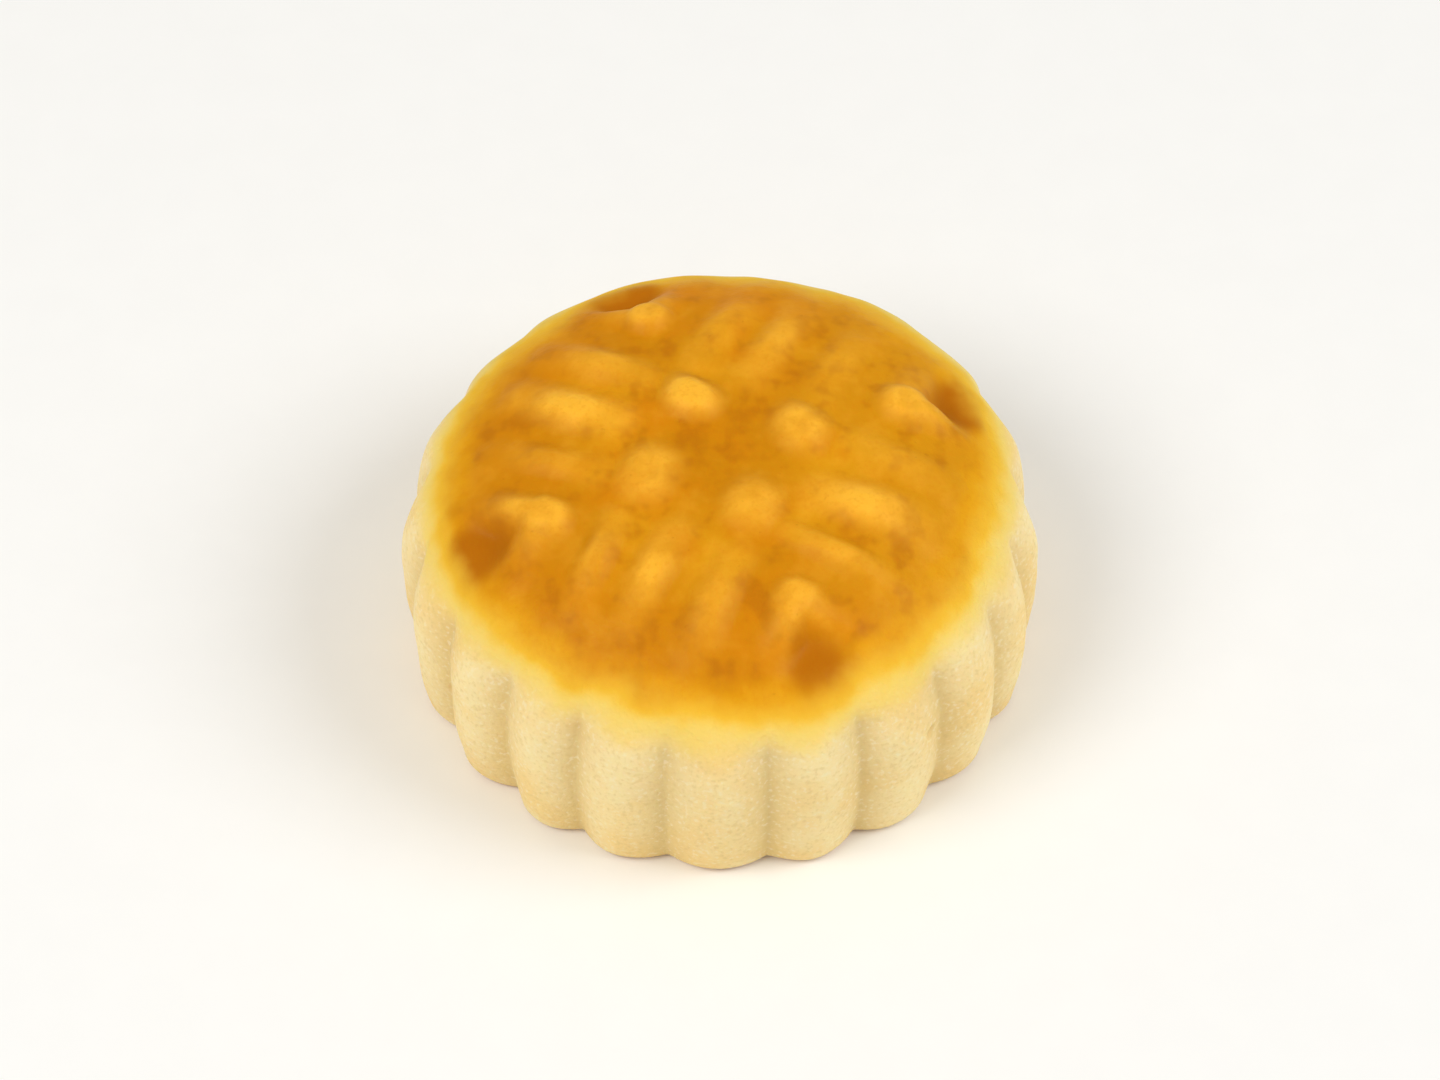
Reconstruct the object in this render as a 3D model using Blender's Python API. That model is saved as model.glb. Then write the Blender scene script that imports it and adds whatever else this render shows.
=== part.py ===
"""A moulded maamoul cookie: one solid of semolina dough, with a fluted side and a stamped, domed top.

Metres, +Z up. The cookie stands on its flat underside at z = 0, centred on the Z axis.
"""

import math

import bmesh
import bpy
import numpy as np

NODE = "maamoul"

# Body
DIAMETER = 0.0450  # across the crests of the flutes, at the widest level
CROWN_HEIGHT = 0.0203  # underside to the middle of the dome, between the beads
WIDEST_HEIGHT = 0.0072  # level of the widest ring
DOME_POWER = 3.1  # 2 is a round dome, and more is flatter with a fuller shoulder
TUCK = 0.0009  # how far the side draws in from the widest ring to the underside
FOOT_ROUND = 0.0011  # radius of the rounded edge round the underside

# Flutes on the side, left by the scalloped wall of the mould
FLUTES = 20
FLUTE_DEPTH = 0.00115
FLUTE_VALLEY = 0.16  # softness of a flute's valley, where 0 is a sharp crease
LOBE_FULLNESS = 0.8  # under 1 the lobes between the valleys are broader and flatter
FLUTE_TOP_START = 0.0124  # the flutes are at full depth up to this level
FLUTE_TOP_END = 0.0165  # and have run out at this one

# Stamp on the top, square in plan, the same in each quarter
PITCH = 0.0045  # between neighbouring bars
BEAD_OFFSET = 0.0038  # bead centres from both middle lines
BEAD_FLAT, BEAD_FOOT = 0.0008, 0.0030  # half widths of a bead's crest and of its foot
BEAD_SQUARENESS = 2.3  # 2 is a round bead, and more is squarer
BAR_START, BAR_END = 0.0077, 0.0154  # a bar's two ends, from the middle
BAR_SHAPE = (0.45, 0.43, 0.30)  # share of the rise at a bar's start, where it peaks, and share at its end
SIDE_BAR_WIDTH, SIDE_BAR_RISE = 0.87, 0.80  # of the two outer bars of a group, next to the middle one
RIDGE_FLAT, RIDGE_FOOT = 0.0003, 0.0023  # half widths of a bar's crest and of its foot
CORNER = 0.0098  # where the two arms of a corner ridge meet, from both middle lines
CORNER_REACH = 0.0143  # where the arms end
ARM_SHAPE = (1.0, 0.20, 0.15)  # as for a bar
ARM_WIDTH = 0.90  # next to a bar
APEX_WIDTH = 0.80  # of the blob where two arms meet, next to a bead
BEAD_RISE = 0.00080
BAR_RISE = 0.00072
CORNER_RISE = 0.00075
POCKET_DEPTH = 0.00120
POCKET_START = 0.0108  # middle of the inner slopes of the pocket behind a corner ridge
POCKET_EDGE = 0.0015  # half width of those slopes
POCKET_MIDDLE = 0.0123  # the pocket's deepest place, from both middle lines
POCKET_FLOOR, POCKET_REACH = 0.0010, 0.0033  # full depth up to the first, run out at the second
POCKET_SPREAD = 1.6  # how much farther it reaches sideways than outward
STAMP_FADE = (0.0168, 0.0192)  # the stamp runs out between these radii
STAMP_TURN = math.radians(-23.0)  # the stamp's turn about the cookie's axis

# Hand-made unevenness
OVAL, OVAL_TURN = 0.006, 0.9  # share of the radius, and which way round in radians
THREE_SIDED, THREE_SIDED_TURN = 0.005, -0.5  # the same for a faint three-sidedness
CROWN_LEAN, LEAN_TURN = 0.00035, 0.8  # half the height difference across the top, and which way round
FLUTE_WANDER = ((3, 0.018, 0.7), (7, 0.007, 2.1))  # waves round, swing in radians, phase
DEPTH_WANDER = ((2, 0.10, 1.3), (5, 0.09, 0.4))  # waves round, share of the depth, phase

# Faceting
DOME_POINTS, SIDE_POINTS, FOOT_POINTS = 400, 60, 30  # fine points of the outline, for the rings
STEPS_ROUND = 160
FIRST_RING = 0.0018
RING_SPACING_TOP = 0.00096
RING_SPACING_SIDE = 0.0021
SHARP_ANGLE = math.radians(50.0)  # edges that turn more than this are shaded sharp

CRUST_COLOUR = (0.80, 0.52, 0.16, 1.0)
CRUST_ROUGHNESS = 0.6


def clear_scene():
    for thing in list(bpy.data.objects):
        bpy.data.objects.remove(thing, do_unlink=True)


def smooth_step(value, start, end):
    """0 at start, 1 at end, with level ends. It falls if end is below start."""
    share = np.clip((value - start) / (end - start), 0.0, 1.0)
    return share * share * (3.0 - 2.0 * share)


def outline():
    """Fine points (radius, height) down the crest line of a flute, from the crown to the flat underside."""
    widest = DIAMETER / 2
    turn = np.linspace(0.0, math.pi / 2, DOME_POINTS)
    power = 2.0 / DOME_POWER
    dome_r = widest * np.sin(turn) ** power
    dome_z = WIDEST_HEIGHT + (CROWN_HEIGHT - WIDEST_HEIGHT) * np.cos(turn) ** power

    side_z = np.linspace(WIDEST_HEIGHT, FOOT_ROUND, SIDE_POINTS)[1:]
    side_r = widest - TUCK * (1.0 - side_z / WIDEST_HEIGHT) ** 2

    foot_turn = np.linspace(0.0, math.pi / 2, FOOT_POINTS)[1:]
    foot_r = side_r[-1] - FOOT_ROUND * (1.0 - np.cos(foot_turn))
    foot_z = FOOT_ROUND * (1.0 - np.sin(foot_turn))
    return np.concatenate([dome_r, side_r, foot_r]), np.concatenate([dome_z, side_z, foot_z])


def ring_stops(length):
    """Distances along the outline at which the rings stand, close on the top and wider apart on the side."""
    stops = [FIRST_RING]
    while stops[-1] < length:
        share = stops[-1] / length
        stops.append(stops[-1] + RING_SPACING_TOP + (RING_SPACING_SIDE - RING_SPACING_TOP) * share**2)
    return np.array(stops) * length / stops[-1]


def outline_rings():
    """Radius, height and outward normal of the outline at each ring."""
    r, z = outline()
    run = np.concatenate([[0.0], np.cumsum(np.hypot(np.diff(r), np.diff(z)))])
    normal_r, normal_z = -np.gradient(z, run), np.gradient(r, run)
    stops = ring_stops(run[-1])
    size = np.hypot(normal_r, normal_z)
    return [np.interp(stops, run, a) for a in (r, z, normal_r / size, normal_z / size)]


def waves(angle, terms):
    return sum(swing * np.sin(count * angle + phase) for count, swing, phase in terms)


def flute_inset(angle, height):
    """How far the surface lies inside the crest line: wide rounded lobes with narrow valleys between."""
    phase = FLUTES * (angle + waves(angle, FLUTE_WANDER)) / 2
    lobe = np.sqrt(np.cos(phase) ** 2 + FLUTE_VALLEY**2)
    lobe = (lobe - FLUTE_VALLEY) / (math.hypot(1.0, FLUTE_VALLEY) - FLUTE_VALLEY)
    depth = FLUTE_DEPTH * (1.0 + waves(angle, DEPTH_WANDER))
    return depth * (1.0 - lobe**LOBE_FULLNESS) * smooth_step(height, FLUTE_TOP_END, FLUTE_TOP_START)


def bead(x, y, middle, width):
    """1 on a bead's flat crest, falling to 0 at its foot."""
    power = BEAD_SQUARENESS
    away = (np.abs(x - middle) ** power + np.abs(y - middle) ** power) ** (1 / power)
    return smooth_step(away, BEAD_FOOT * width, BEAD_FLAT)


def ridge(x, y, start, end, shape, width):
    """On the crest line head at its start, 1 at its peak and tail at its end, falling to 0 at its foot."""
    head, peak, tail = shape
    along = np.subtract(end, start)
    share = ((x - start[0]) * along[0] + (y - start[1]) * along[1]) / np.dot(along, along)
    share = np.clip(share, 0.0, 1.0)
    away = np.hypot(x - start[0] - share * along[0], y - start[1] - share * along[1])
    strength = head + (1.0 - head) * smooth_step(share, 0.0, peak)
    strength = strength * (tail + (1.0 - tail) * smooth_step(share, 1.0, peak))
    return smooth_step(away, RIDGE_FOOT * width, RIDGE_FLAT) * strength


def pocket(x, y):
    """1 at the bottom of the pocket behind a corner ridge, falling to 0 round it."""
    inside = np.minimum(x, y) - POCKET_START
    outward = (x + y) / math.sqrt(2) - POCKET_MIDDLE * math.sqrt(2)
    away = np.hypot(outward, (x - y) / math.sqrt(2) / POCKET_SPREAD)
    return smooth_step(inside, -POCKET_EDGE, POCKET_EDGE) * smooth_step(away, POCKET_REACH, POCKET_FLOOR)


def stamp_rise(x, y):
    """Height of the stamped ornament over the plain dome."""
    radius = np.hypot(x, y)
    turn_x = x * math.cos(STAMP_TURN) + y * math.sin(STAMP_TURN)
    turn_y = y * math.cos(STAMP_TURN) - x * math.sin(STAMP_TURN)
    x, y = np.abs(turn_x), np.abs(turn_y)

    rise = BEAD_RISE * bead(x, y, BEAD_OFFSET, 1.0)
    rise = np.maximum(rise, CORNER_RISE * bead(x, y, CORNER, APEX_WIDTH))
    for along, across in ((x, y), (y, x)):
        for offset, width, height in ((0.0, 1.0, 1.0), (PITCH, SIDE_BAR_WIDTH, SIDE_BAR_RISE)):
            bar = ridge(along, across, (BAR_START, offset), (BAR_END, offset), BAR_SHAPE, width)
            rise = np.maximum(rise, BAR_RISE * height * bar)
        arm = ridge(along, across, (CORNER, CORNER), (CORNER_REACH, CORNER), ARM_SHAPE, ARM_WIDTH)
        rise = np.maximum(rise, CORNER_RISE * arm)

    rise = rise - POCKET_DEPTH * pocket(x, y)
    return rise * smooth_step(radius, STAMP_FADE[1], STAMP_FADE[0])


def surface_rings():
    """The rings of points on the cookie's surface, from the crown out and down to the underside."""
    angle = np.arange(STEPS_ROUND) * 2 * math.pi / STEPS_ROUND
    rings = []
    for r, z, normal_r, normal_z in zip(*outline_rings()):
        rise = stamp_rise(r * np.cos(angle), r * np.sin(angle))
        radius = r + rise * normal_r - flute_inset(angle, z)
        radius = radius * (1.0 + OVAL * np.cos(2 * angle - OVAL_TURN))
        radius = radius * (1.0 + THREE_SIDED * np.cos(3 * angle - THREE_SIDED_TURN))
        height = z + rise * normal_z
        lean = CROWN_LEAN * np.sin(angle + LEAN_TURN) * r / (DIAMETER / 2)
        height = height + lean * smooth_step(height, WIDEST_HEIGHT, CROWN_HEIGHT)
        rings.append(np.stack([radius * np.cos(angle), radius * np.sin(angle), height], axis=1))
    rings[-1][:, 2] = 0.0
    return rings


def centre_on_axis(rings):
    """Moves the rings sideways so that the cookie's box is centred on the Z axis."""
    points = np.concatenate(rings)
    middle = (points.min(axis=0) + points.max(axis=0)) / 2
    return [ring - [middle[0], middle[1], 0.0] for ring in rings]


def make_material():
    material = bpy.data.materials.new("baked_dough")
    material.use_nodes = True
    shader = material.node_tree.nodes["Principled BSDF"]
    shader.inputs["Base Color"].default_value = CRUST_COLOUR
    shader.inputs["Roughness"].default_value = CRUST_ROUGHNESS
    shader.inputs["Metallic"].default_value = 0.0
    return material


def make_cookie():
    rings = centre_on_axis(surface_rings())
    form = bmesh.new()
    loops = [[form.verts.new(point) for point in ring] for ring in rings]
    crown = form.verts.new((*rings[0][:, :2].mean(axis=0), rings[0][:, 2].mean()))
    for step in range(STEPS_ROUND):
        after = (step + 1) % STEPS_ROUND
        form.faces.new((crown, loops[0][step], loops[0][after]))
        for upper, lower in zip(loops, loops[1:]):
            form.faces.new((upper[step], lower[step], lower[after], upper[after]))
    form.faces.new(list(reversed(loops[-1])))
    bmesh.ops.recalc_face_normals(form, faces=form.faces)

    mesh = bpy.data.meshes.new(NODE)
    form.to_mesh(mesh)
    form.free()
    mesh.shade_smooth()
    mesh.set_sharp_from_angle(angle=SHARP_ANGLE)
    mesh.materials.append(make_material())
    cookie = bpy.data.objects.new(NODE, mesh)
    bpy.context.scene.collection.objects.link(cookie)
    return cookie


def main():
    clear_scene()
    make_cookie()


main()
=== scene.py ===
"""Looks of a moulded maamoul cookie, laid out as a Blender add-on and run as a script.

Metres, +Z up. The cookie stands on its flat underside at z = 0, centred on the Z axis, and fills
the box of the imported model's node. It is one lofted skin: a stamped dome washed with egg, a fluted
side of bare semolina dough, and a flat underside.
"""

import math

import bpy
import numpy as np
from bpy.props import FloatProperty, FloatVectorProperty, IntProperty, PointerProperty
from mathutils import Color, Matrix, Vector


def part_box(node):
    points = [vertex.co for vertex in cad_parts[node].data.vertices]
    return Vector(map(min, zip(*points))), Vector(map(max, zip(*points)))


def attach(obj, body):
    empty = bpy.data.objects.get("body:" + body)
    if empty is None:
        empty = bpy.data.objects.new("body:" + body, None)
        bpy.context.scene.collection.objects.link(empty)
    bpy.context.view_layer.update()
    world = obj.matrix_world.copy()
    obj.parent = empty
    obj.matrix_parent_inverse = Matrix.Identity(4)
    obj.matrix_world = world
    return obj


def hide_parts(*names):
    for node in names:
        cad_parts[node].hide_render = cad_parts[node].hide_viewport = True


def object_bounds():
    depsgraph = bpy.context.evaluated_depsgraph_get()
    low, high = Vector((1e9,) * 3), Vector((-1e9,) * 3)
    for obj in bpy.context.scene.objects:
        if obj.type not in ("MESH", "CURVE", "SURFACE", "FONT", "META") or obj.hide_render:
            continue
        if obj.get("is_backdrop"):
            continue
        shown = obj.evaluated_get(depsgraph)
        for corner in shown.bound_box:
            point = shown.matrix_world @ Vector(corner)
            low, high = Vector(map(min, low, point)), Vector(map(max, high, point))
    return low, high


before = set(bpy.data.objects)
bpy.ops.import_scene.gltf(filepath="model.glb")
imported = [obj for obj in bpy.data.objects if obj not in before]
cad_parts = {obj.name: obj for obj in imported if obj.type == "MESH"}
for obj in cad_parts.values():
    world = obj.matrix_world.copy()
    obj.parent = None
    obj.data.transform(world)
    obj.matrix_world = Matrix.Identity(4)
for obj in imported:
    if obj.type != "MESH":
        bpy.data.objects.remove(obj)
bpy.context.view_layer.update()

bl_info = {
    "name": "Maamoul Cookie",
    "version": (1, 0, 0),
    "blender": (4, 5, 0),
    "location": "View3D > Sidebar > Maamoul",
    "description": "A moulded semolina cookie with a stamped, egg-washed top and a fluted side",
    "category": "Add Mesh",
}

NODE = "maamoul"
SLOT = "baked_dough"
BODY = "root"
CAD_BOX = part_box(NODE)

MM = 0.001

# Mesh density
OUTLINE_POINTS = 600  # fine points of each stretch of the outline, which the rings are read from
STEPS_ROUND = 640
DOME_RINGS, SIDE_RINGS, SOLE_RINGS = 112, 28, 8
FIRST_RING = 0.35 * MM  # from the crown, and from the middle of the underside

# Hand-made unevenness. Waves are (times round, swing, phase), lumps (size across, reach, seed) and pits
# (degrees round, mm up, mm in radius)
OVAL = (2, 0.006, 0.9)
THREE_SIDED = (3, 0.005, -0.5)
CROWN_LEAN, LEAN_TURN = 0.35 * MM, 0.8  # half the height difference across the top, and which way
FLUTE_WANDER = ((3, 0.018, 0.7), (7, 0.007, 2.1))  # sideways, in radians
DEPTH_WANDER = ((2, 0.10, 1.3), (5, 0.09, 0.4))  # shares of the depth
WASH_WANDER = ((1, 0.45, 3.5), (3, 0.12, 0.3), (8, 0.12, 1.0))  # of the egg wash's edge, in mm
POCKET_WASH = 0.7  # how much farther it reaches out behind a pocket, in mm
FLUTE_WASH = 0.25  # how much farther it reaches out on a lobe than in a valley, in mm
LUMPS = ((9 * MM, 0.10 * MM, 11), (3.2 * MM, 0.045 * MM, 12), (1.3 * MM, 0.018 * MM, 13))
SWELL_WAVES, SWELL_RANGE = 24, (2.4, 4.2)  # slanted waves in a swell, and radians along its size in each
PITS = ((-48, 9.5, 0.75), (-152, 6.0, 0.6), (25, 11.0, 0.7), (118, 7.5, 0.8), (171, 10.5, 0.5))
PIT_DEPTH = 0.35 * MM
PIT_FLOOR = 0.2  # share of a pit's radius that is at full depth
UNDERSIDE = (-0.5, -0.95)  # the skin counts as underside as its normal's height falls from one to the other

# Stamp
STAMP_WARP = (6 * MM, 0.30 * MM, 21)  # size of the bends, how far, seed
STAMP_SEED = 5
QUARTERS = 4
APEX_WIDTH = 0.8  # of the blob where two arms of a corner ridge meet, next to a bead
CORNER_GOLD = 0.72  # pale gold of a corner ridge, next to a bead's; the pale gold on crests is partly a painted highlight
GROOVE_FULL = 0.5  # share of a groove's length that is at full strength
POCKET_FLOOR = 0.3  # share of a pocket's reach that is at full depth

# Clouds of the finish: size across, detail and seed, then the cloud's ramp. The last three have their ramps
# below, or none
EDGE_DRIFT = (4.0 * MM, 2.0, 1.0, 0.3, 0.7, -0.5, 0.5)  # of the wash's edge, in mm
EDGE_FRAY = (0.9 * MM, 2.0, 2.0, 0.3, 0.7, -0.08, 0.08)
WARM_PATCHES = (6.0 * MM, 3.0, 3.0, 0.4, 0.65)
BROWN_PATCHES = (3.4 * MM, 3.0, 5.0, 0.42, 0.68, 0.0, 0.9)
FRECKLES = (0.5 * MM, 3.0, 6.0, 0.66, 0.80, 0.0, 0.4)
SOLE_PATCHES = (5.0 * MM, 4.0, 7.0, 0.35, 0.65, 0.45, 1.0)
CREST_PATCHES = (1.8 * MM, 3.0, 9.0, 0.32, 0.64, 0.66, 1.10)
LIP_PATCHES = (4.5 * MM, 2.0, 10.0, 0.35, 0.65, 0.45, 0.95)
BROAD_TONE = (10.0 * MM, 2.0, 11.0, 0.40, 0.62, 0.0, 0.6)
SIDE_DRIFT = (6.0 * MM, 2.0, 12.0, 0.3, 0.7, -3.0 * MM, 3.0 * MM)
PAPER_FIBRE = (4.0 * MM, 3.0, 0.0, 0.3, 0.7)
GRAIN, CRUMB, MOTTLE = (0.34 * MM, 2.0, 4.0), (0.7 * MM, 3.0, 8.0), (2.1 * MM, 2.0, 13.0)

# Ramps of the finish: where each starts and ends, then its values there if they aren't 0 and 1
GRAIN_DARK, GRAIN_PALE = (0.52, 0.70, 0.0, 0.35), (0.46, 0.30, 0.0, 0.35)
GRAIN_WASHED = (0.50, 0.68, 0.0, 0.20)
MOTTLE_DARK, MOTTLE_PALE = (0.50, 0.68, 0.0, 0.60), (0.50, 0.30, 0.0, 0.16)
FIELD_FROM, RING_FROM = (3.0 * MM, 8.0 * MM), (11.0 * MM, 15.5 * MM)  # out from the middle
LIT_SIDE_PAINTED, SHADED_SIDE_PAINTED = (2.0 * MM, 15.0 * MM, 0.0, 0.8), (-4.0 * MM, -15.0 * MM, 0.0, 0.6)  # along X: painted light, lighter and yellower to the right and darker to the left
LIP, GLOSS = (3.2, 1.2), (-1.2, 1.2)  # in from the wash's edge in mm, as are the next three
YOLK_PALE_FROM, YOLK_FROM, GOLD_FROM = (-4.6, -1.0), (-1.7, 0.0), (-0.9, 1.9)
# ramp of the pockets' painted shade and browned, pooled wash
POCKET_BROWN_AND_SHADE = (0.05, 0.85)

# Other parts of the finish
VALLEY_PAINTED_SHADE, PIT_PAINTED_SHADE, GROOVE_POOL_AND_SHADE = 0.75, 0.6, 0.85  # how strongly each takes on its darker colour: painted shade in the valleys and the pits, and pooled wash with painted shade in the grooves
CREST_POWER = 1.25  # more keeps the pale gold, a thinner wash with a painted highlight, nearer to the crests' tops
PALE_GRAIN = (1.0, 0.95, 0.82)
DOUGH_ROUGHNESS, WASH_ROUGHNESS = 0.88, 0.5
WASH_COAT = 0.07
CRUMB_DEPTH = 0.12 * MM
CRUMB_GRAIN, CRUMB_WASHED = 0.6, 0.45  # the grain's part in the bumps, and the share left under the wash
EVEN_SOCKETS = {
    "Specular IOR Level": 0.06, "Coat Roughness": 0.4, "Coat IOR": 1.4, "Subsurface Weight": 0.25,
    "Subsurface Radius": (1.0, 0.6, 0.25), "Subsurface Scale": 0.9 * MM,
}

# Studio. Soft boxes are ((degrees round, degrees up, metres away), metres across, tint)
FLOOR_SIZE = 4.0
FLOOR_ROUGHNESS, FLOOR_FIBRE = 0.9, 0.996  # the second is the tone of the darker fibres
KEY_BOX = ((-58, 50, 0.7), 0.4, (1.0, 0.985, 0.955))
FILL_BOX = ((80, 45, 0.8), 0.5, (0.965, 0.985, 1.0))
SKY_COLOUR = (1.0, 0.99, 0.975, 1.0)
CAMERA_REACH = (0.01, 10.0)  # the nearest and farthest that the camera sees, in metres


def length(name, description, default):
    return FloatProperty(
        name=name, description=description, default=default, min=0.0, precision=5,
        subtype="DISTANCE", unit="LENGTH",
    )


def share(name, description, default, top=1.0):
    return FloatProperty(
        name=name, description=description, default=default, min=0.0, max=top, subtype="FACTOR"
    )


def angle(name, description, degrees):
    return FloatProperty(
        name=name, description=description, default=math.radians(degrees), subtype="ANGLE", unit="ROTATION"
    )


def shade(name, description, red, green, blue):
    """A colour as it shows on a screen, from 0 to 255."""
    return FloatVectorProperty(
        name=name, description=description, default=(red / 255, green / 255, blue / 255),
        min=0.0, max=1.0, subtype="COLOR_GAMMA",
    )


class MaamoulBody(bpy.types.PropertyGroup):
    """The cookie's own shape, without the stamp."""

    diameter: length("Diameter", "Across the crests of the flutes, at the widest level", 0.0450)
    crown_height: length("Crown height", "From the underside to the middle of the dome", 0.0203)
    widest_height: length("Widest level", "Height of the widest ring", 0.0072)
    dome_power: FloatProperty(
        name="Dome fullness", description="2 is a round dome, and more is flatter with a fuller shoulder",
        default=3.1, min=2.0, max=6.0,
    )
    tuck: length("Tuck", "How far the side draws in from the widest ring to the underside", 0.0009)
    foot_round: length("Foot radius", "Radius of the rounded edge round the underside", 0.0011)
    flutes: IntProperty(name="Flutes", description="How many lobes go round the side", default=20, min=8)
    flute_depth: length("Flute depth", "From the crest of a lobe to the bottom of a valley", 0.00115)
    flute_valley: share("Valley softness", "Softness of a valley, where 0 is a sharp crease", 0.16)
    lobe_fullness: share("Lobe fullness", "Under 1 the lobes are broader and flatter", 0.8)
    flute_full: length("Flutes full to", "The flutes are at full depth up to this level", 0.0124)
    flute_end: length("Flutes end at", "Level where the flutes have run out", 0.0165)


class MaamoulStamp(bpy.types.PropertyGroup):
    """The ornament that the mould leaves on the top, square in plan."""

    turn: angle("Turn", "The stamp's turn about the cookie's axis", -23.0)
    pitch: length("Bar pitch", "Between neighbouring bars", 0.0045)
    bar_start: length("Bar start", "Inner end of a bar, from the middle", 0.0077)
    bar_end: length("Bar end", "Outer end of a bar, from the middle", 0.0154)
    bar_rise: length("Bar rise", "Height of a bar over the dome", 0.00072)
    bar_head: share("Bar head", "How strong a bar already is at its inner end", 0.45)
    bar_peak: share("Bar peak", "Where along a bar it is strongest", 0.43)
    bar_tail: share("Bar tail", "How strong a bar still is at its outer end", 0.30)
    side_bar_rise: share("Side bar rise", "Height of the two outer bars, next to the middle one", 0.80)
    side_bar_gold: share("Side bar gold", "Pale gold of the two outer bars, next to the middle one", 0.48)
    side_bar_width: share("Side bar width", "Width of the two outer bars, next to the middle one", 0.87)
    ridge_flat: length("Ridge crest", "Half width of a bar's crest", 0.00030)
    ridge_foot: length("Ridge foot", "Half width of a bar's foot", 0.00230)
    bead_offset: length("Bead offset", "Bead centres from both middle lines", 0.0038)
    bead_flat: length("Bead crest", "Half width of a bead's crest", 0.0008)
    bead_foot: length("Bead foot", "Half width of a bead's foot", 0.0030)
    bead_rise: length("Bead rise", "Height of a bead over the dome", 0.00080)
    bead_squareness: FloatProperty(
        name="Bead squareness", description="2 is a round bead, and more is squarer",
        default=2.3, min=2.0, max=8.0,
    )
    corner: length("Corner", "Where the two arms of a corner ridge meet, from both middle lines", 0.0098)
    corner_reach: length("Corner reach", "Where the arms of a corner ridge end", 0.0143)
    corner_rise: length("Corner rise", "Height of a corner ridge over the dome", 0.00075)
    arm_peak: share("Arm peak", "How far along an arm of a corner ridge stays at full strength", 0.20)
    arm_tail: share("Arm tail", "How strong an arm of a corner ridge still is at its end", 0.15)
    arm_width: share("Arm width", "Width of an arm of a corner ridge, next to a bar", 0.90)
    groove: length("Groove", "Middle of the groove inside a corner ridge, from both middle lines", 0.0072)
    groove_reach: length("Groove reach", "Where the groove inside a corner ridge ends", 0.0140)
    groove_tail: share("Groove tail", "How strong that groove still is at its end", 0.60)
    pocket_start: length("Pocket start", "Middle of the pocket's inner slopes", 0.0108)
    pocket_edge: length("Pocket slope", "Half width of the pocket's inner slopes", 0.0014)
    pocket_middle: length("Pocket middle", "The pocket's deepest place, from both middle lines", 0.0123)
    pocket_reach: length("Pocket reach", "The pocket has run out this far out from its middle", 0.0033)
    pocket_spread: FloatProperty(
        name="Pocket spread", description="How much farther the pocket reaches sideways than outward",
        default=1.6, min=1.0, max=3.0,
    )
    pocket_depth: length("Pocket depth", "Depth of the pocket behind a corner ridge", 0.00120)
    fade_start: length("Fade start", "The stamp starts to run out at this radius", 0.0168)
    fade_end: length("Fade end", "The stamp has run out at this radius", 0.0192)
    shift: length("Unevenness", "How far a bar or bead may sit from its place", 0.00036)
    strength: share("Uneven strength", "How much one bar's or bead's rise differs from the next", 0.32)
    width: share("Uneven width", "How much one bar's or bead's width differs from the next", 0.10)


class MaamoulBake(bpy.types.PropertyGroup):
    """Colours of the baked dough and of the egg wash on it, with painted shade and painted highlight among
    them.
    """

    wash_radius: length("Wash radius", "Radius of the egg wash's edge on the dome", 0.0192)
    dough_light: shade("Dough, lobes", "Bare semolina dough on the lobes", 253, 229, 170)
    dough_warm: shade("Dough, patches", "Warmer patches of the bare dough", 250, 216, 146)
    # Dough, valleys: the colour of the painted shade in the flute valleys and pits, and of the darker grain
    # specks
    dough_shade_and_grain: shade("Dough, valleys", "Bare dough in the valleys between lobes", 223, 194, 130)
    yolk_pale: shade("Yolk, thin", "The thinnest wash at its edge", 249, 214, 110)
    yolk: shade("Yolk", "Wash just inside its edge", 246, 195, 58)
    # Gold, crests: a thinner wash with a painted highlight on the bars and beads; also the pale half of the
    # mottle
    gold_crest_and_highlight: shade("Gold, crests", "Wash on the bars and beads", 255, 186, 52)
    # also the darker gold of the painted shade on the left side and, with pooled wash, in the grooves
    gold_middle_and_shade: shade("Gold, middle", "Wash between the beads", 207, 133, 2)
    gold_field: shade("Gold, field", "Wash between the bars", 228, 157, 16)
    gold_ring: shade("Gold, ring", "Browner wash outside the bars", 218, 134, 2)
    gold_lip: shade("Gold, lip", "Orange wash where the top turns down to its edge", 234, 165, 12)
    # painted light: the right side of the washed top lighter and yellower
    gold_lit_side: shade("Gold, thin side", "Yellower wash on the side where it is thinner", 219, 150, 12)
    # Pocket brown: painted shade with browned, pooled wash in the pockets; also the dark mottle and freckles
    brown_and_pocket_shade: shade("Pocket brown", "Wash pooled in the pockets", 188, 110, 2)
    sole_brown: shade("Underside", "Browned dough of the underside", 214, 158, 92)


class MaamoulStudio(bpy.types.PropertyGroup):
    """The floor, the light and the camera."""

    elevation: angle("Camera elevation", "Camera's height over the floor, as an angle", 51.5)
    distance: length("Camera distance", "From the cookie's middle to the camera", 0.487)
    lens: FloatProperty(
        name="Focal length", description="Focal length of the camera", default=172.0, min=10.0,
        subtype="DISTANCE_CAMERA", unit="CAMERA",
    )
    key: FloatProperty(name="Key light", description="Power of the key light", default=2.1, unit="POWER")
    fill: FloatProperty(
        name="Fill light", description="Power of the fill light", default=2.65, unit="POWER"
    )
    sky: share("Surround", "Strength of the pale light from all round", 0.46, top=3.0)
    paper: shade("Floor", "Colour of the pale floor", 250, 249, 246)


# ---------------------------------------------------------------- shape

def smooth_step(value, start, end):
    """0 at start, 1 at end, with level ends. It falls if end is below start."""
    part = np.clip((value - start) / (end - start), 0.0, 1.0)
    return part * part * (3.0 - 2.0 * part)


def waves(turn, terms):
    return sum(swing * np.sin(times * turn + phase) for times, swing, phase in terms)


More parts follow.
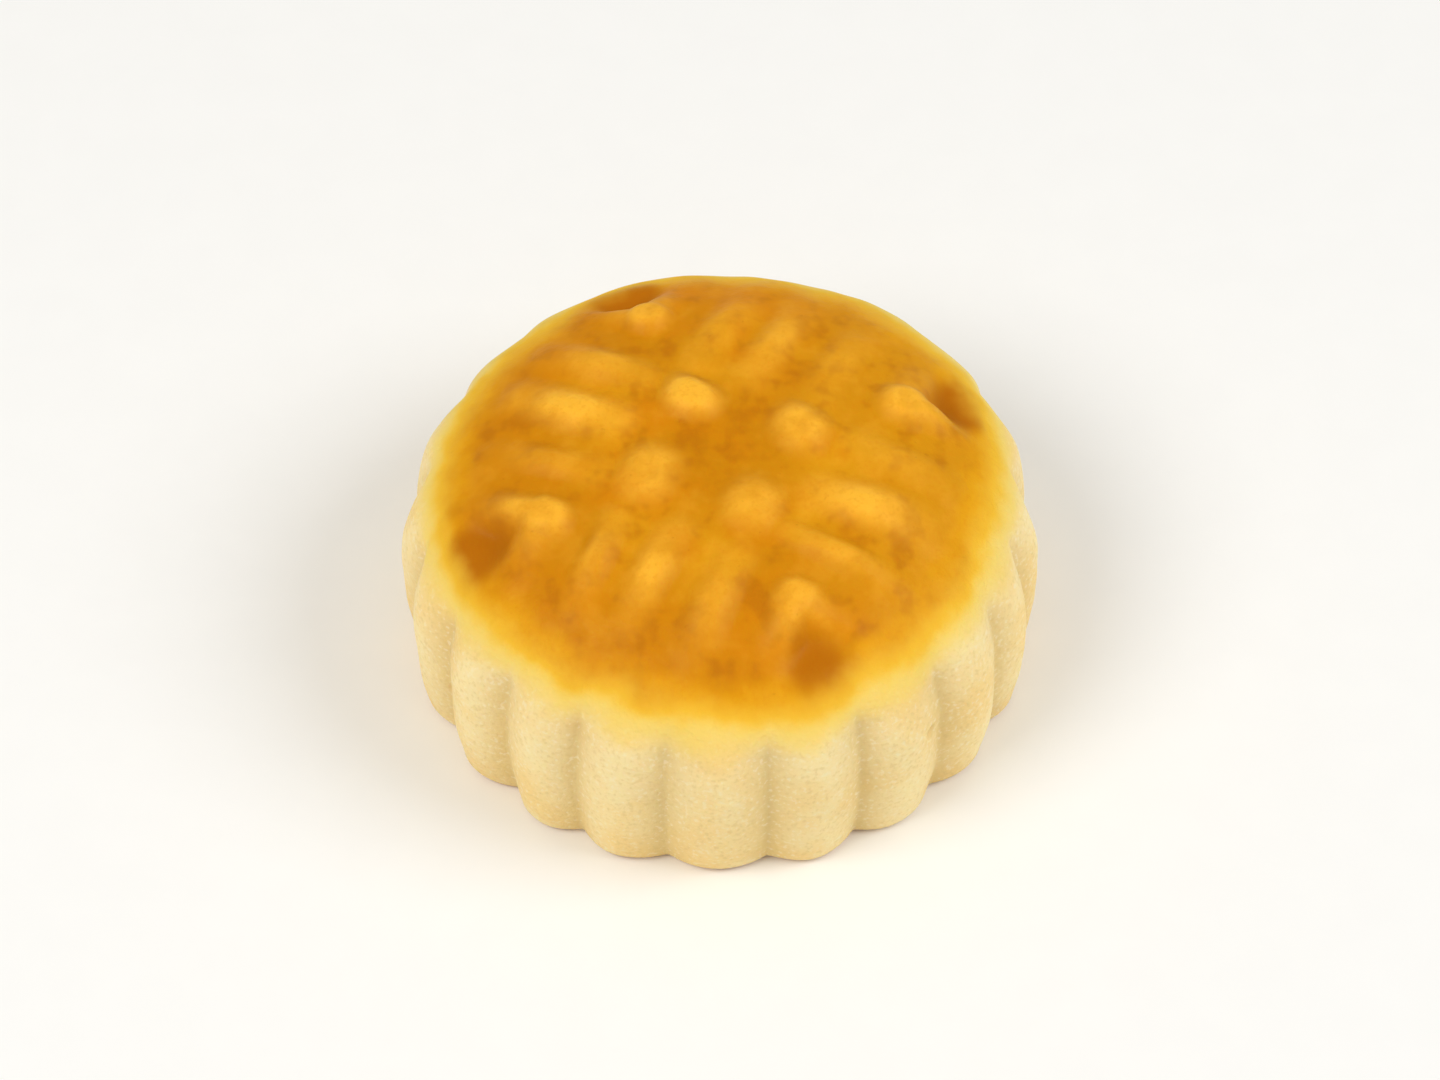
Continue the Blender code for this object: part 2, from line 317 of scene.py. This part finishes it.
def swell(points, size, seed):
    """Smooth random swell of about -1 to 1, whose bumps are about size across: many slanted waves."""
    dice = np.random.default_rng(seed)
    total = np.zeros(points.shape[:-1])
    for _ in range(SWELL_WAVES):
        slant = dice.normal(size=3)
        slant *= dice.uniform(*SWELL_RANGE) / size / np.linalg.norm(slant)
        total += np.sin(points @ slant + dice.uniform(0.0, 2 * math.pi))
    return total / math.sqrt(SWELL_WAVES)


def outline(body):
    """Radius, height and outward normal down the crest line of a flute at each ring, and how far each
    ring is from the crown: over the dome, down the side and the rounded foot, and in under the cookie."""
    widest = body.diameter / 2
    turn = np.linspace(0.0, math.pi / 2, OUTLINE_POINTS)
    power = 2.0 / body.dome_power
    dome_r = widest * np.sin(turn) ** power
    dome_z = body.widest_height + (body.crown_height - body.widest_height) * np.cos(turn) ** power

    side_z = np.linspace(body.widest_height, body.foot_round, OUTLINE_POINTS)[1:]
    side_r = widest - body.tuck * (1.0 - side_z / body.widest_height) ** 2
    foot_r = side_r[-1] - body.foot_round * (1.0 - np.cos(turn[1:]))
    foot_z = body.foot_round * (1.0 - np.sin(turn[1:]))
    sole_r = np.linspace(foot_r[-1], 0.0, OUTLINE_POINTS)[1:]
    sole_z = np.zeros_like(sole_r)

    r = np.concatenate([dome_r, side_r, foot_r, sole_r])
    z = np.concatenate([dome_z, side_z, foot_z, sole_z])
    run = np.concatenate([[0.0], np.cumsum(np.hypot(np.diff(r), np.diff(z)))])
    normal_r, normal_z = -np.gradient(z, run), np.gradient(r, run)
    size = np.hypot(normal_r, normal_z)

    dome_end, sole_start = run[len(dome_r) - 1], run[-len(sole_r) - 1]
    stops = np.concatenate([
        np.linspace(FIRST_RING, dome_end, DOME_RINGS, endpoint=False),
        np.linspace(dome_end, sole_start, SIDE_RINGS, endpoint=False),
        np.linspace(sole_start, run[-1] - FIRST_RING, SOLE_RINGS),
    ])
    rings = [np.interp(stops, run, values)[:, None] for values in (r, z, normal_r / size, normal_z / size)]
    return *rings, stops[:, None]


def flute_valleys(body, turn, height):
    """0 on the crest of a lobe and 1 at the bottom of a valley: wide lobes with narrow valleys between."""
    phase = body.flutes * (turn + waves(turn, FLUTE_WANDER)) / 2
    lobe = np.sqrt(np.cos(phase) ** 2 + body.flute_valley**2)
    lobe = (lobe - body.flute_valley) / (math.hypot(1.0, body.flute_valley) - body.flute_valley)
    return (1.0 - lobe**body.lobe_fullness) * smooth_step(height, body.flute_end, body.flute_full)


def ridge(stamp, x, y, start, end, shape, width):
    """On the crest line head at its start, 1 at its peak and tail at its end, falling to 0 at its foot."""
    head, peak, tail = shape
    along = np.subtract(end, start)
    part = ((x - start[0]) * along[0] + (y - start[1]) * along[1]) / np.dot(along, along)
    part = np.clip(part, 0.0, 1.0)
    away = np.hypot(x - start[0] - part * along[0], y - start[1] - part * along[1])
    strong = head + (1.0 - head) * smooth_step(part, 0.0, peak)
    strong = strong * (tail + (1.0 - tail) * smooth_step(part, 1.0, peak))
    return smooth_step(away, stamp.ridge_foot * width, stamp.ridge_flat) * strong


def bead(stamp, x, y, middle, width):
    """1 on a bead's flat crest, falling to 0 at its foot."""
    power = stamp.bead_squareness
    away = (np.abs(x - middle[0]) ** power + np.abs(y - middle[1]) ** power) ** (1 / power)
    return smooth_step(away, stamp.bead_foot * width, stamp.bead_flat)


def stamp_marks(stamp, x, y):
    """The ornament at each point of the plan: its height over the plain dome, then how far up on a ridge,
    in a groove inside a corner ridge and down in a pocket the point is, from 0 to 1. The quarters are alike,
    but every mark sits a little out of place and is a little stronger or weaker than the next."""
    dice = np.random.default_rng(STAMP_SEED)
    size, reach, seed = STAMP_WARP
    plan = np.stack([x, y, np.zeros_like(x)], axis=-1)
    x, y = x + reach * swell(plan, size, seed), y + reach * swell(plan, size, seed + 1)
    rise, crest, hollow, groove = [np.zeros_like(x) for _ in range(4)]

    def place(across, up):
        return across + dice.uniform(-1, 1) * stamp.shift, up + dice.uniform(-1, 1) * stamp.shift

    def broad():
        return 1.0 + dice.uniform(-1, 1) * stamp.width

    def add(mark, height, gold):
        strength = 1.0 + dice.uniform(-1, 1) * stamp.strength
        np.maximum(rise, mark * height * strength, out=rise)
        np.maximum(crest, mark * strength * gold, out=crest)

    bar = stamp.bar_head, stamp.bar_peak, stamp.bar_tail
    arm = 1.0, stamp.arm_peak, stamp.arm_tail
    dip = 1.0, GROOVE_FULL, stamp.groove_tail
    middle_bar, side_bar = (1.0, 1.0, 1.0), (stamp.side_bar_rise, stamp.side_bar_gold, stamp.side_bar_width)
    for quarter in range(QUARTERS):
        turn = stamp.turn + quarter * math.pi / 2
        u = x * math.cos(turn) + y * math.sin(turn)
        v = y * math.cos(turn) - x * math.sin(turn)
        add(bead(stamp, u, v, place(stamp.bead_offset, stamp.bead_offset), broad()), stamp.bead_rise, 1.0)
        for row in (-1, 0, 1):
            tall, gold, wide = side_bar if row else middle_bar
            ends = [place(along, row * stamp.pitch) for along in (stamp.bar_start, stamp.bar_end)]
            add(ridge(stamp, u, v, *ends, bar, wide * broad()), tall * stamp.bar_rise, gold)
        apex = place(stamp.corner, stamp.corner)
        add(bead(stamp, u, v, apex, APEX_WIDTH * broad()), stamp.corner_rise, CORNER_GOLD)
        for across, up in ((1, 0), (0, 1)):
            end = [stamp.corner + side * (stamp.corner_reach - stamp.corner) for side in (across, up)]
            mark = ridge(stamp, u, v, apex, place(*end), arm, stamp.arm_width)
            add(mark, stamp.corner_rise, CORNER_GOLD)
            end = [stamp.groove + side * (stamp.groove_reach - stamp.groove) for side in (across, up)]
            mark = ridge(stamp, u, v, (stamp.groove, stamp.groove), end, dip, 1.0)
            np.maximum(groove, mark, out=groove)
        nearer = (u + v - np.sqrt((u - v) ** 2 + stamp.pocket_edge**2)) / 2 - stamp.pocket_start
        out = (u + v) / math.sqrt(2) - stamp.pocket_middle * math.sqrt(2)
        out = np.hypot(out, (u - v) / math.sqrt(2) / stamp.pocket_spread)
        pocket = smooth_step(nearer, -stamp.pocket_edge, stamp.pocket_edge)
        pocket = pocket * smooth_step(out, stamp.pocket_reach, POCKET_FLOOR * stamp.pocket_reach)
        np.maximum(hollow, pocket * (1.0 + dice.uniform(-1, 1) * stamp.strength), out=hollow)

    fade = smooth_step(np.hypot(x, y), stamp.fade_end, stamp.fade_start)
    crest = crest * fade * np.clip(1.0 - hollow, 0.0, 1.0)
    return (rise - stamp.pocket_depth * hollow) * fade, crest, groove * fade, hollow


def pits(points):
    """1 in the middle of each small hole that a bubble left in the side, and 0 away from them."""
    deep = np.zeros(points.shape[:-1])
    for degrees, up, radius in PITS:
        turn = math.radians(degrees)
        level = up * MM
        flat = np.array([math.cos(turn), math.sin(turn)])
        row = np.argmin(np.abs(points[:, 0, 2] - level))
        out = np.hypot(points[row, :, 0], points[row, :, 1]).mean()
        middle = np.array([*(flat * out), level])
        away = np.linalg.norm(points - middle, axis=-1)
        deep = np.maximum(deep, smooth_step(away, radius * MM, PIT_FLOOR * radius * MM))
    return deep


def fit_to_box(points, box):
    """Stretches the points by a hair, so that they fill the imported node's box."""
    start, end = points.min(axis=(0, 1)), points.max(axis=(0, 1))
    low, high = np.array(box[0]), np.array(box[1])
    return low + (points - start) * (high - low) / (end - start)


def cookie_skin(body, stamp, bake):
    """Points of the skin, ring by ring, and what the bake needs to know about each of them."""
    turn = np.arange(STEPS_ROUND)[None, :] * 2 * math.pi / STEPS_ROUND
    r, z, normal_r, normal_z, run = outline(body)
    dome = normal_z > 0.0
    under = smooth_step(normal_z, *UNDERSIDE)

    rise, crest, groove, hollow = [
        mark * dome for mark in stamp_marks(stamp, r * np.cos(turn), r * np.sin(turn))
    ]
    valley = flute_valleys(body, turn, z)
    depth = body.flute_depth * (1.0 + waves(turn, DEPTH_WANDER))
    inset = depth * valley * (1.0 - under * (1.0 - r / r.max()))

    plain = np.stack(np.broadcast_arrays(r * np.cos(turn), r * np.sin(turn), z), axis=-1)
    for size, reach, seed in LUMPS:
        rise = rise + reach * swell(plain, size, seed) * (1.0 - under)
    hole = pits(plain)
    rise = rise - PIT_DEPTH * hole

    radius = r + rise * normal_r - inset
    radius = radius * (1.0 + sum(waves(turn, [wave]) for wave in (OVAL, THREE_SIDED)))
    height = z + rise * normal_z
    lean = CROWN_LEAN * np.sin(turn + LEAN_TURN) * r / (body.diameter / 2)
    height = height + lean * smooth_step(height, body.widest_height, body.crown_height)
    points = np.stack(np.broadcast_arrays(radius * np.cos(turn), radius * np.sin(turn), height), axis=-1)

    wash_edge = np.interp(bake.wash_radius, r[:DOME_RINGS, 0], run[:DOME_RINGS, 0])
    wash = (wash_edge - run) / MM + waves(turn, WASH_WANDER) + FLUTE_WASH * (0.5 - valley)
    wash = wash + POCKET_WASH * np.clip(np.cos(QUARTERS * (turn - stamp.turn) - math.pi), 0.0, 1.0) ** 2
    marks = {"wash": wash, "crest": crest, "groove": groove, "hollow": hollow, "pit": hole,
             "sole": under, "valley": valley * (1.0 - under)}
    return fit_to_box(points, CAD_BOX), {
        name: np.broadcast_to(values, height.shape) for name, values in marks.items()
    }


def skin_faces(rings):
    """Quads between the rings, and a fan at the crown and at the middle of the underside."""
    here = np.arange(STEPS_ROUND)
    after = np.roll(here, -1)
    faces = []
    for ring in range(rings - 1):
        upper, lower = ring * STEPS_ROUND, (ring + 1) * STEPS_ROUND
        faces += np.stack([upper + here, lower + here, lower + after, upper + after], axis=1).tolist()
    crown, sole, last = rings * STEPS_ROUND, rings * STEPS_ROUND + 1, (rings - 1) * STEPS_ROUND
    faces += [(crown, a, b) for a, b in zip(here.tolist(), after.tolist())]
    faces += [(sole, last + b, last + a) for a, b in zip(here.tolist(), after.tolist())]
    return faces


def make_cookie_mesh(body, stamp, bake):
    points, marks = cookie_skin(body, stamp, bake)

    def closed(values):
        """The values at the rings' points, then at the crown and at the middle of the underside."""
        flat = values.reshape(-1, *values.shape[2:])
        return np.concatenate([flat, [values[0].mean(axis=0)], [values[-1].mean(axis=0)]])

    mesh = bpy.data.meshes.new("moulded_cookie")
    mesh.from_pydata(closed(points).tolist(), [], skin_faces(len(points)))
    for name, values in marks.items():
        layer = mesh.attributes.new(name, "FLOAT", "POINT")
        layer.data.foreach_set("value", closed(values).astype(np.float32))
    mesh.shade_smooth()
    mesh.update()
    return mesh


# ---------------------------------------------------------------- finish

class Finish:
    """Short ways to add nodes to one material's tree."""

    def __init__(self, name):
        self.material = bpy.data.materials.new(name)
        self.material.use_nodes = True
        self.tree = self.material.node_tree
        self.shader = self.tree.nodes["Principled BSDF"]

    def put(self, sockets, key, value):
        if isinstance(value, bpy.types.NodeSocket):
            self.tree.links.new(value, sockets[key])
        else:
            sockets[key].default_value = value

    def add(self, kind, settings, inputs, output=0):
        node = self.tree.nodes.new(kind)
        for name, value in settings.items():
            setattr(node, name, value)
        for key, value in inputs.items():
            self.put(node.inputs, key, value)
        return node.outputs[output]

    def mark(self, name):
        return self.add("ShaderNodeAttribute", {"attribute_name": name}, {}, "Fac")

    def place(self):
        return self.add("ShaderNodeTexCoord", {}, {}, "Object")

    def maths(self, operation, first, second):
        return self.add("ShaderNodeMath", {"operation": operation}, {0: first, 1: second})

    def times(self, first, second):
        return self.maths("MULTIPLY", first, second)

    def plus(self, first, second):
        return self.maths("ADD", first, second)

    def rise(self, value, start, end, low=0.0, high=1.0):
        """low up to start and high from end, with a smooth climb between."""
        inputs = {"Value": value, "From Min": start, "From Max": end, "To Min": low, "To Max": high}
        return self.add("ShaderNodeMapRange", {"interpolation_type": "SMOOTHSTEP"}, inputs)

    def noise(self, size, detail, seed):
        """Cloudy values from 0 to 1 about 0.5, whose patches are about size across."""
        inputs = {"Vector": self.place(), "W": seed, "Scale": 1.0 / size, "Detail": detail}
        return self.add("ShaderNodeTexNoise", {"noise_dimensions": "4D"}, inputs, "Fac")

    def cloud(self, size, detail, seed, *ramp):
        return self.rise(self.noise(size, detail, seed), *ramp)

    def blend(self, part, low, high):
        """low where part is 0 and high where it is 1. A colour may be given as it shows on a screen."""
        low, high = [c if isinstance(c, bpy.types.NodeSocket) else screen(c) for c in (low, high)]
        inputs = {0: part, 6: low, 7: high}
        return self.add("ShaderNodeMix", {"data_type": "RGBA"}, inputs, 2)


def screen(colour):
    """The scene's own value of a colour that is given as it shows on a screen."""
    return (*Color(colour[:3]).from_srgb_to_scene_linear(), 1.0)


def bake_finish(bake):
    """Bare semolina dough on the side, with painted shade in its valleys and pits, and egg wash on the dome:
    thin and yellow at its edge, pale gold with a painted highlight on the crests, brown with painted shade
    in the pockets and grooves, and lighter to the right and darker to the left as painted light."""
    f = Finish(SLOT)
    crest, groove, hollow, valley, pit, sole = [
        f.mark(name) for name in ("crest", "groove", "hollow", "valley", "pit", "sole")
    ]
    flat = f.add("ShaderNodeVectorMath", {"operation": "MULTIPLY"}, {0: f.place(), 1: (1.0, 1.0, 0.0)})
    radius = f.add("ShaderNodeVectorMath", {"operation": "LENGTH"}, {0: flat}, "Value")
    edge = f.plus(f.plus(f.mark("wash"), f.cloud(*EDGE_DRIFT)), f.cloud(*EDGE_FRAY))
    washed = f.rise(edge, *GLOSS)
    grain, mottle = f.noise(*GRAIN), f.noise(*MOTTLE)

    dough = f.blend(f.cloud(*WARM_PATCHES), bake.dough_light, bake.dough_warm)
    # painted shade: the flute valleys take the darker dough
    dough = f.blend(f.times(valley, VALLEY_PAINTED_SHADE), dough, bake.dough_shade_and_grain)
    # painted shade: the pits take the darker dough
    dough = f.blend(f.times(pit, PIT_PAINTED_SHADE), dough, bake.dough_shade_and_grain)
    # darker and paler grain specks of the dough itself
    dough = f.blend(f.rise(grain, *GRAIN_DARK), dough, bake.dough_shade_and_grain)
    dough = f.blend(f.rise(grain, *GRAIN_PALE), dough, PALE_GRAIN)

    gold = f.blend(f.rise(radius, *FIELD_FROM), bake.gold_middle_and_shade, bake.gold_field)
    gold = f.blend(f.rise(radius, *RING_FROM), gold, bake.gold_ring)
    # the grooves inside the corner ridges take the darker gold: pooled wash and painted shade
    gold = f.blend(f.times(groove, GROOVE_POOL_AND_SHADE), gold, bake.gold_middle_and_shade)
    gold = f.blend(f.cloud(*BROWN_PATCHES), gold, bake.gold_ring)
    gold = f.blend(f.cloud(*BROAD_TONE), gold, bake.gold_middle_and_shade)
    # painted light: the washed top lighter and yellower to the right and darker to the left
    across = f.plus(f.add("ShaderNodeSeparateXYZ", {}, {0: f.place()}, "X"), f.cloud(*SIDE_DRIFT))
    gold = f.blend(f.rise(across, *LIT_SIDE_PAINTED), gold, bake.gold_lit_side)
    gold = f.blend(f.rise(across, *SHADED_SIDE_PAINTED), gold, bake.gold_middle_and_shade)
    gold = f.blend(f.rise(mottle, *MOTTLE_DARK), gold, bake.brown_and_pocket_shade)
    gold = f.blend(f.rise(mottle, *MOTTLE_PALE), gold, bake.gold_crest_and_highlight)
    gold = f.blend(f.times(f.rise(edge, *LIP), f.cloud(*LIP_PATCHES)), gold, bake.gold_lip)
    # pale gold on the crests: a thinner wash, with a painted highlight on it
    narrow = f.maths("POWER", crest, CREST_POWER)
    gold = f.blend(f.times(narrow, f.cloud(*CREST_PATCHES)), gold, bake.gold_crest_and_highlight)
    gold = f.blend(f.rise(grain, *GRAIN_WASHED), gold, bake.gold_ring)
    gold = f.blend(f.cloud(*FRECKLES), gold, bake.brown_and_pocket_shade)
    # the pockets darken: painted shade and browned, pooled wash
    gold = f.blend(f.rise(hollow, *POCKET_BROWN_AND_SHADE), gold, bake.brown_and_pocket_shade)

    skin = f.blend(f.rise(edge, *YOLK_PALE_FROM), dough, bake.yolk_pale)
    skin = f.blend(f.rise(edge, *YOLK_FROM), skin, bake.yolk)
    skin = f.blend(f.rise(edge, *GOLD_FROM), skin, gold)
    skin = f.blend(f.times(sole, f.cloud(*SOLE_PATCHES)), skin, bake.sole_brown)

    crumb = f.plus(f.noise(*CRUMB), f.times(grain, CRUMB_GRAIN))
    crumb = f.times(crumb, f.rise(washed, 0.0, 1.0, 1.0, CRUMB_WASHED))
    bump = f.add("ShaderNodeBump", {}, {"Strength": 1.0, "Distance": CRUMB_DEPTH, "Height": crumb})
    for name, value in {
        "Base Color": skin,
        "Roughness": f.rise(washed, 0.0, 1.0, DOUGH_ROUGHNESS, WASH_ROUGHNESS),
        "Coat Weight": f.times(washed, WASH_COAT),
        "Normal": bump, "Coat Normal": bump, **EVEN_SOCKETS,
    }.items():
        f.put(f.shader.inputs, name, value)
    return f.material


# ---------------------------------------------------------------- pieces

class MAAMOUL_OT_cookie(bpy.types.Operator):
    """Makes the moulded cookie in place of the model's plain one"""

    bl_idname = "maamoul.cookie"
    bl_label = "Moulded cookie"

    def execute(self, context):
        scene = context.scene
        mesh = make_cookie_mesh(scene.maamoul_body, scene.maamoul_stamp, scene.maamoul_bake)
        mesh.materials.append(bake_finish(scene.maamoul_bake))
        cookie = bpy.data.objects.new("moulded_cookie", mesh)
        scene.collection.objects.link(cookie)
        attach(cookie, BODY)
        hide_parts(NODE)
        return {"FINISHED"}


def around(middle, azimuth, elevation, distance):
    """The point seen from middle in that direction. Azimuth 0 is in front, and 90 is to the right."""
    a, e = math.radians(azimuth), math.radians(elevation)
    way = Vector((math.sin(a) * math.cos(e), -math.cos(a) * math.cos(e), math.sin(e)))
    return middle + way * distance


def aim(thing, spot, middle):
    thing.location = spot
    thing.rotation_euler = (middle - spot).to_track_quat("-Z", "Y").to_euler()


def add_softbox(scene, name, middle, power, direction, size, tint):
    light = bpy.data.lights.new(name, "AREA")
    light.shape, light.size, light.energy, light.color = "DISK", size, power, tint
    lamp = bpy.data.objects.new(name, light)
    scene.collection.objects.link(lamp)
    aim(lamp, around(middle, *direction), middle)


class MAAMOUL_OT_studio(bpy.types.Operator):
    """Sets the pale floor, the soft light and the camera round the cookie"""

    bl_idname = "maamoul.studio"
    bl_label = "Floor, light and camera"

    def execute(self, context):
        scene, studio = context.scene, context.scene.maamoul_studio
        low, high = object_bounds()
        middle = (low + high) / 2

        side = FLOOR_SIZE / 2
        corners = [(x, y, low.z) for x, y in ((-side, -side), (side, -side), (side, side), (-side, side))]
        mesh = bpy.data.meshes.new("floor")
        mesh.from_pydata(corners, [], [(0, 1, 2, 3)])
        paper = Finish("pale_paper")
        tone = paper.blend(paper.cloud(*PAPER_FIBRE), studio.paper * FLOOR_FIBRE, studio.paper)
        paper.put(paper.shader.inputs, "Base Color", tone)
        paper.put(paper.shader.inputs, "Roughness", FLOOR_ROUGHNESS)
        mesh.materials.append(paper.material)
        floor = bpy.data.objects.new("floor", mesh)
        scene.collection.objects.link(floor)
        floor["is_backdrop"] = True

        add_softbox(scene, "key_softbox", middle, studio.key, *KEY_BOX)
        add_softbox(scene, "fill_softbox", middle, studio.fill, *FILL_BOX)
        world = bpy.data.worlds.new("surround")
        world.use_nodes = True
        sky = world.node_tree.nodes["Background"]
        sky.inputs["Color"].default_value = SKY_COLOUR
        sky.inputs["Strength"].default_value = studio.sky
        scene.world = world
        scene.view_settings.view_transform = "Standard"

        camera = bpy.data.objects.new("camera", bpy.data.cameras.new("camera"))
        camera.data.lens = studio.lens
        camera.data.clip_start, camera.data.clip_end = CAMERA_REACH
        scene.collection.objects.link(camera)
        aim(camera, around(middle, 0.0, math.degrees(studio.elevation), studio.distance), middle)
        scene.camera = camera
        return {"FINISHED"}


class MAAMOUL_PT_panel(bpy.types.Panel):
    """Lists the sizes and colours of the cookie, and the steps that make it"""

    bl_idname = "MAAMOUL_PT_panel"
    bl_label = "Maamoul"
    bl_space_type = "VIEW_3D"
    bl_region_type = "UI"
    bl_category = "Maamoul"

    def draw(self, context):
        scene = context.scene
        steps = (
            (MAAMOUL_OT_cookie, (scene.maamoul_body, scene.maamoul_stamp, scene.maamoul_bake)),
            (MAAMOUL_OT_studio, (scene.maamoul_studio,)),
        )
        for step, groups in steps:
            column = self.layout.box().column()
            for group in groups:
                for name in group.bl_rna.properties.keys():
                    if name not in ("name", "rna_type"):
                        column.prop(group, name)
            column.operator(step.bl_idname)


CLASSES = (
    MaamoulBody, MaamoulStamp, MaamoulBake, MaamoulStudio,
    MAAMOUL_OT_cookie, MAAMOUL_OT_studio, MAAMOUL_PT_panel,
)
GROUPS = {
    "maamoul_body": MaamoulBody, "maamoul_stamp": MaamoulStamp,
    "maamoul_bake": MaamoulBake, "maamoul_studio": MaamoulStudio,
}


def register():
    for made in CLASSES:
        bpy.utils.register_class(made)
    for name, group in GROUPS.items():
        setattr(bpy.types.Scene, name, PointerProperty(type=group))


def unregister():
    for name in GROUPS:
        delattr(bpy.types.Scene, name)
    for made in reversed(CLASSES):
        bpy.utils.unregister_class(made)


def main():
    register()
    bpy.ops.maamoul.cookie()
    bpy.ops.maamoul.studio()


if __name__ == "__main__":
    main()
